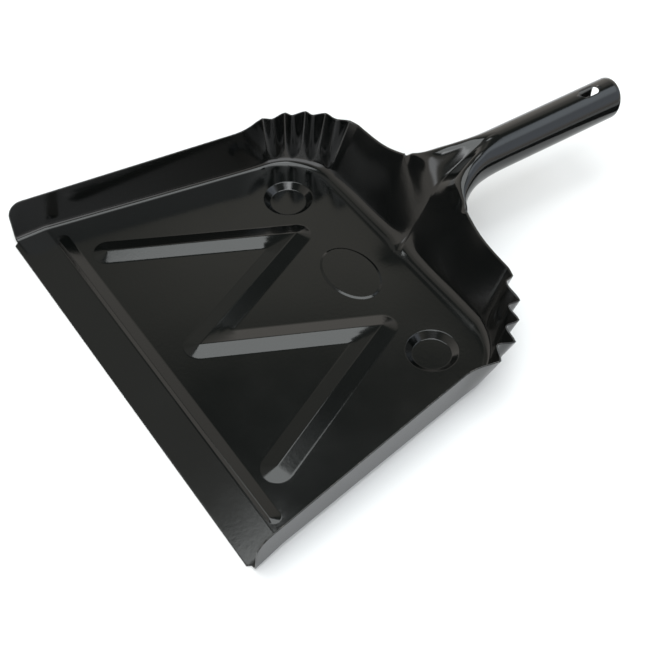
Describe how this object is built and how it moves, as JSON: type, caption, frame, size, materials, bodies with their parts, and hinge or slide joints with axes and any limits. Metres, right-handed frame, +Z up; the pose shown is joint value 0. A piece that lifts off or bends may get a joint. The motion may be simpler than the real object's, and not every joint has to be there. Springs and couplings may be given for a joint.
{
  "type": "metal dust pan",
  "caption": "Enamelled sheet-steel dust pan: tapered tray with ribbed floor, crimped rear corners, and a back wall rolled into a tubular handle with a hang slot.",
  "frame": {"origin": "under the middle of the part's box, on the plane the pan stands on", "axes": "+Z up, +Y from the front lip towards the end of the handle, +X to the right seen from the front"},
  "size_m": [0.3122, 0.3836, 0.0689],
  "materials": {
    "black_enamel": "gloss"
  },
  "bodies": {
    "root": {"pan_shell": "black_enamel", "handle_tube": "black_enamel"}
  },
  "joints": []
}
